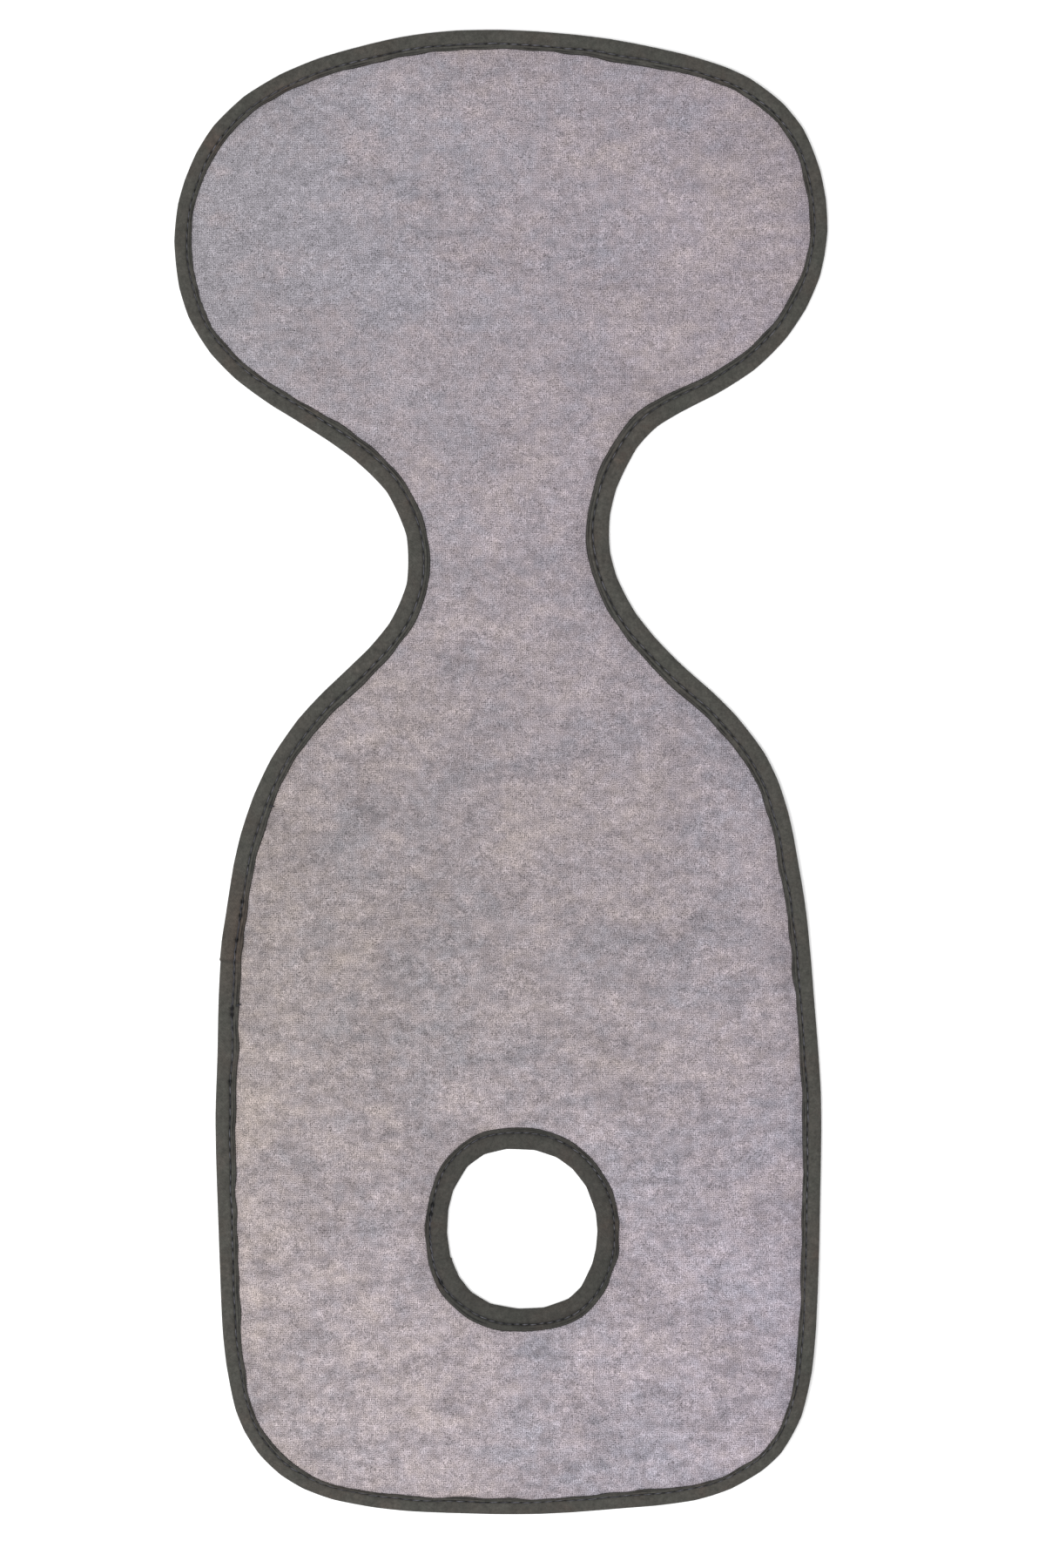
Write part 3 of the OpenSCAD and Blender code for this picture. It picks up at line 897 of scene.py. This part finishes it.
def tape_piece(rim, name, node):
    """A tape folded over one rim, with its seam, pleated lip, kinks and lapped end."""
    count = rim.count
    depth = rim.seam[:, None] * SECTION[:, 0] + rim.lip[:, None] * SECTION[:, 1]
    height = np.tile(SECTION[:, 2], (count, 1))
    painted_shade_and_tone = np.tile(SECTION[:, 3], (count, 1))

    # Where the lip is not pleated it is one flat, gently sloping strip
    pleat = np.where(PLEAT_ROWS, rim.pleat[:, None], 1)
    flat_lip = np.interp(SECTION[:, 1], (0.36, 1.0), (1.0, 0.86))
    height = (height * pleat + flat_lip * (1 - pleat)) * rim_top
    painted_shade_and_tone *= pleat

    across = np.clip(1 - depth / rim.seam[:, None], 0, 1)     # 0 at the seam, 1 at the fold
    top = TOP_ROWS.astype(float)
    # The folded edge runs straighter between its kinks, and creases at them
    depth += rim.edge_shift[:, None] * np.clip(1.8 * across - 0.8, 0, 1)
    height -= KINK_DIP * rim.near_kink(KINK_REACH)[:, None] * across * top
    # The band puffs up and down, and each stitch draws it in a little
    puff = rim.waves((14 * MM, 50 * MM, PUFF))[:, None]
    height += puff * top * smooth(0.1, 0.5, across)
    phase = (np.arange(count) % SAMPLES_PER_STITCH) / SAMPLES_PER_STITCH
    pull = np.cos(2 * math.pi * phase)[:, None]
    beside_seam = np.exp(-(((depth - rim.seam[:, None]) / PULL_REACH) ** 2))
    height -= STITCH_PULL * pull * beside_seam * top
    # The needle's holes, some hardly open and a few gaping, get painted shade; beside the seam it
    # is lighter where the stitches have sunk
    open_by = np.repeat(np.clip(rng.normal(0.85, 0.3, rim.stitches), 0.3, 1.3),
                        SAMPLES_PER_STITCH)[:, None]
    at_hole = (phase == 0)[:, None]
    by_hole = np.isin(phase * SAMPLES_PER_STITCH, (1, SAMPLES_PER_STITCH - 1))[:, None]
    height -= NEEDLE_ROWS * (NEEDLE_HOLE * at_hole + BESIDE_HOLE * by_hole)
    height += BACK_HOLE * (at_hole & BACK_NEEDLE_ROW)
    painted_shade_and_tone = np.where(at_hole & NEEDLE_ROWS, 1.1 * open_by, painted_shade_and_tone)
    painted_shade_and_tone = np.where(~at_hole & ~by_hole & NEEDLE_ROWS, 0.4, painted_shade_and_tone)
    painted_shade_and_tone *= 1 - 0.45 * rim.faint[:, None] * beside_seam * top
    # Gaping holes sink, and get painted shade
    beside_hole = np.exp(-(((depth - rim.seam[:, None]) / GAPE_REACH) ** 2))
    gape = rim.gape[:, None] * beside_hole * TOP_ROWS
    height -= GAPE_DIP * gape
    painted_shade_and_tone = np.maximum(painted_shade_and_tone, 2.2 * gape)
    # The lip's inner edge is a little uneven
    uneven = rim.waves((5 * MM, 16 * MM, UNEVEN_LIP))[:, None]
    height += uneven * top * (SECTION[:, 1] > 0.3)
    # The tape's end, one more ply, over its start
    lap = ply * rim.lap[:, None]
    height += lap * TOP_ROWS * (height > 0.7 * rim_top)
    depth -= lap * smooth(0.5, 1, across)
    at_fold = np.exp(-(((rim.run - rim.length + 0.7 * MM) / (0.8 * MM)) ** 2))[:, None]
    depth -= END_STEP * at_fold * smooth(0.9, 1, across)
    # A painted shade line across the tape at the fold of its end
    last = np.zeros((count, 1))
    last[-1], last[0] = 0.3, 0.45
    painted_shade_and_tone = np.maximum(painted_shade_and_tone, last * TOP_ROWS * (SECTION[:, 0] > 0))

    height = np.maximum(height, 0)
    flat = rim.points[:, None] + rim.inward[:, None] * depth[..., None]
    co = np.concatenate([flat, height[..., None]], axis=2).reshape(-1, 3)
    here = np.arange(count)[:, None] * len(ROWS) + ROWS
    ahead = np.roll(here, -1, axis=0)
    faces = np.stack(
        [here, np.roll(here, -1, axis=1), np.roll(ahead, -1, axis=1), ahead], axis=-1
    ).reshape(-1, 4)
    piece = add_piece(name, co, faces.tolist(), node, "binding_tape", tape_cloth)

    # Painted shade for the material: the section's and holes' own, the hole tape darker all over,
    # and painted shade along the hole tape's seam
    set_attribute(piece, "painted_shade_and_tone", np.maximum(painted_shade_and_tone, rim.dark) + rim.seam_dark * beside_seam)
    browner = rim.browner[:, None] * (1 - 0.55 * across)
    set_attribute(piece, "warm", browner)
    steps = np.hypot(np.diff(depth.mean(0)), np.diff(height.mean(0)))
    girth = np.concatenate([[0], np.cumsum(steps), [steps.sum() + MM]])
    run = np.append(rim.run, rim.length)
    i, k = np.divmod(here.reshape(-1), len(ROWS))
    corners = ((i, k), (i, k + 1), (i + 1, k + 1), (i + 1, k))
    uv = np.stack([np.stack([run[a], girth[b]], 1) for a, b in corners], axis=1)
    layer = piece.data.uv_layers.new(name="tape")
    layer.data.foreach_set("uv", uv.astype(np.float32).reshape(-1))


# ---------------------------------------------------------------- sewn threads

THREAD_SIDES = 8
THREAD_LEAN = 0.3 * MM     # how far a stitch slants across its seam
THREAD_WANDER = 0.12 * MM
MIDDLE = 0.48              # where the two threads meet, as a share of the rim's height
FACE_CHANNEL = 0.875       # where they lie on the face and on the back, likewise
BACK_CHANNEL = 0.13
SECOND_RUN_IN = -0.42 * MM # where the second run lies across the seam
SECOND_RUN_ON = 0.47       # and along it, as a share of a stitch
# Share of a stitch, height as a share of the way up from the cloth's middle, and painted shade,
# full where the thread dives into a needle's hole
STITCH_SHAPE = (
    (0.0, 0.0, 1), (0.04, 0.40, 1), (0.09, 0.68, 1), (0.16, 0.84, 0.9), (0.25, 0.93, 0.55),
    (0.37, 0.99, 0.15), (0.5, 1.01, 0), (0.63, 0.99, 0.15), (0.75, 0.93, 0.55),
    (0.84, 0.84, 0.9), (0.91, 0.68, 1), (0.96, 0.40, 1),
)


def tube(path, side, radius, closed, twist_per_metre=520.0):
    """A two-ply thread along a path. side is a level direction square to the path."""
    step = np.roll(path, -1, axis=0) - np.roll(path, 1, axis=0)
    if not closed:
        step[0], step[-1] = path[1] - path[0], path[-1] - path[-2]
    step /= np.linalg.norm(step, axis=1)[:, None]
    up = np.cross(side, step)
    up /= np.linalg.norm(up, axis=1)[:, None]
    side = np.cross(step, up)
    run = np.concatenate([[0], np.cumsum(np.linalg.norm(np.diff(path, axis=0), axis=1))])
    around = np.linspace(0, 2 * math.pi, THREAD_SIDES, endpoint=False)
    lobes = 1 + 0.2 * np.cos(2 * (around[None] - run[:, None] * twist_per_metre * math.pi))
    size = np.broadcast_to(radius, len(path))[:, None] * lobes
    co = path[:, None] + size[..., None] * (
        np.cos(around)[None, :, None] * side[:, None]
        + np.sin(around)[None, :, None] * up[:, None]
    )
    count = len(path)
    here = np.arange(count)[:, None] * THREAD_SIDES + np.arange(THREAD_SIDES)
    ahead = np.roll(here, -1, axis=0)
    if not closed:
        here, ahead = here[:-1], ahead[:-1]
    faces = np.stack(
        [here, ahead, np.roll(ahead, -1, axis=1), np.roll(here, -1, axis=1)], axis=-1
    ).reshape(-1, 4).tolist()
    if not closed:
        last = (count - 1) * THREAD_SIDES
        faces.append(list(range(THREAD_SIDES))[::-1])
        faces.append([last + k for k in range(THREAD_SIDES)])
    return co.reshape(-1, 3), faces


def seam_path(rim, stitches, first, on_back, sideways):
    """The way of one thread through a row of stitches. It lies in the tape's channel, and
    at each needle hole it goes down to the middle of the cloth to meet the other thread.
    Returns its places, the level direction square to it, and how much painted shade it gets."""
    middle = MIDDLE * rim_top
    on_face = FACE_CHANNEL * rim_top + THREAD_RADIUS
    on_tape = BACK_CHANNEL * rim_top if on_back else on_face
    shape = np.array(STITCH_SHAPE)
    share = (np.arange(stitches)[:, None] + shape[:, 0]).reshape(-1)
    climb = np.tile(shape[:, 1], stitches)
    if on_back:
        climb = np.minimum(climb, 1)
    at = (share + first) * SAMPLES_PER_STITCH
    whole = np.floor(at).astype(int)
    part = (at - whole)[:, None]

    def between(values):
        values = values.reshape(rim.count, -1)
        return values[whole % rim.count] * (1 - part) + values[(whole + 1) % rim.count] * part

    per_stitch = rng.normal(0, 1, (3, stitches))
    wander, tension, shade = np.repeat(per_stitch, len(shape), axis=1)
    lean = THREAD_LEAN * (np.tile(shape[:, 0], stitches) - 0.5)
    depth = between(rim.seam)[:, 0] + sideways + (THREAD_WANDER * wander + lean) * climb
    inward = between(rim.inward)
    flat = between(rim.points) + inward * depth[:, None]
    height = middle + (on_tape - middle) * climb * (1 + 0.03 * tension)
    height += between(rim.lap)[:, 0] * ply * (climb > 0.8) * (not on_back)
    side = np.column_stack([inward, np.zeros(len(inward))])
    gape = between(rim.gape)[:, 0] * (not on_back)
    height -= 0.6 * MM * gape
    faint = between(rim.faint)[:, 0]
    # Painted shade along each stitch, varied stitch by stitch, evened out where the stitches have
    # sunk and full at gaping holes
    painted_shade_and_tone = np.clip(np.tile(shape[:, 2], stitches) + 0.1 + 0.35 * shade, 0, 1)
    painted_shade_and_tone = np.minimum(painted_shade_and_tone * (1 - faint) + 0.45 * faint + gape, 1)
    return np.column_stack([flat, height]), side, painted_shade_and_tone


def sew(rim, name, node, on_back, overrun):
    """One thread of a seam: the whole run, and its second run of stitches at the join."""
    first, stitches = overrun
    runs = (
        (seam_path(rim, rim.stitches, 0, on_back, 0), True),
        (seam_path(rim, stitches, first + SECOND_RUN_ON, on_back, SECOND_RUN_IN), False),
    )
    co, faces, painted_shade_and_tone = [], [], []
    for (path, side, shade), closed in runs:
        run_co, run_faces = tube(path, side, THREAD_RADIUS, closed)
        base = sum(len(part) for part in co)
        co.append(run_co)
        faces += [[base + i for i in face] for face in run_faces]
        # The stitches sewn over others get more painted shade, and show less
        painted_shade_and_tone.append(np.repeat(shade if closed else np.maximum(shade, 0.65), THREAD_SIDES))
    piece = add_piece(name, np.concatenate(co), faces, node, "sewing_thread", thread_cloth)
    set_attribute(piece, "painted_shade_and_tone", np.concatenate(painted_shade_and_tone))


def thread_end(rim, name, node, run, offsets):
    """A cut thread end that curls out of a seam. Each offset: along, into the cloth, up."""
    at = round(run / rim.step) % rim.count
    base = rim.place(at, rim.seam[at])
    along, inward = rim.along[at], rim.inward[at]
    path = np.array([
        (*(base + along * a * MM + inward * b * MM), rim_top + c * MM) for a, b, c in offsets
    ])
    fine = np.linspace(0, len(path) - 1, 5 * len(path))
    path = np.stack([np.interp(fine, np.arange(len(path)), path[:, k]) for k in range(3)], 1)
    for _ in range(3):
        path[1:-1] = (path[:-2] + 2 * path[1:-1] + path[2:]) / 4
    side = np.cross(np.gradient(path, axis=0), (0.1, 0.2, 1.0))
    side /= np.linalg.norm(side, axis=1)[:, None]
    radius = THREAD_RADIUS * np.linspace(2.4, 1.6, len(path))
    piece = add_piece(
        name, *tube(path, side, radius, closed=False), node, "sewing_thread", thread_cloth
    )
    set_attribute(piece, "painted_shade_and_tone", np.full(len(path) * THREAD_SIDES, 0.97))


# ---------------------------------------------------------------- floor, light, camera


def make_stage():
    """A pale floor, a soft white sky, one large soft light, and a camera straight above."""
    mesh = bpy.data.meshes.new("floor")
    reach = 6.0
    mesh.from_pydata(
        [(-reach, -reach, 0), (reach, -reach, 0), (reach, reach, 0), (-reach, reach, 0)],
        [], [(0, 1, 2, 3)],
    )
    floor = bpy.data.objects.new("floor", mesh)
    floor.location.z = -0.05 * MM
    n = Nodes("pale_floor")
    pale = n.mix(n.noise(0.4), (0.9, 0.9, 0.9, 1), (0.93, 0.93, 0.93, 1))
    floor.data.materials.append(n.finish(pale, Roughness=0.9))
    bpy.context.scene.collection.objects.link(floor)

    world = bpy.data.worlds.new("soft_sky")
    world.use_nodes = True
    sky = world.node_tree.nodes["Background"]
    sky.inputs["Color"].default_value = (1, 1, 1, 1)
    sky.inputs["Strength"].default_value = 1.2
    bpy.context.scene.world = world

    lamp = bpy.data.lights.new("softbox", "AREA")
    lamp.shape = "RECTANGLE"
    lamp.size, lamp.size_y = 1.6, 1.2
    lamp.energy = 34
    softbox = bpy.data.objects.new("softbox", lamp)
    softbox.location = (-0.9, -0.5, 1.9)
    softbox.rotation_euler = softbox.location.to_track_quat("Z", "Y").to_euler()
    bpy.context.scene.collection.objects.link(softbox)

    lens = bpy.data.cameras.new("camera")
    lens.sensor_width = SENSOR
    lens.lens = SENSOR * CAMERA_HEIGHT / VIEW_LENGTH
    lens.clip_end = 20
    camera = bpy.data.objects.new("camera", lens)
    camera.location = (*CAMERA_OFFSET, CAMERA_HEIGHT)
    bpy.context.scene.collection.objects.link(camera)
    bpy.context.scene.camera = camera
    bpy.context.scene.view_settings.view_transform = "Standard"


make_stage()
make_layers()
tape_piece(edge, "edge_tape", "outer_binding")
tape_piece(hole, "hole_tape", "hole_binding")
edge_overrun = (-6, 12)
hole_overrun = (-5, 11)
sew(edge, "edge_needle_stitches", "outer_needle_thread", False, edge_overrun)
sew(edge, "edge_bobbin_stitches", "outer_bobbin_thread", True, edge_overrun)
sew(hole, "hole_needle_stitches", "hole_needle_thread", False, hole_overrun)
sew(hole, "hole_bobbin_stitches", "hole_bobbin_thread", True, hole_overrun)
thread_ends = (21.5 * MM, edge.length - 84 * MM)     # where they leave the seam
for number, run in enumerate(thread_ends):
    thread_end(
        edge, f"edge_thread_end_{number + 1}", "outer_needle_thread", run,
        ((0.5, 1.9, -0.9), (0.3, 2.3, 0.1), (0.1, 2.9, 0.4), (0, 3.6, 0.3), (-0.3, 4.2, 0.1)),
    )
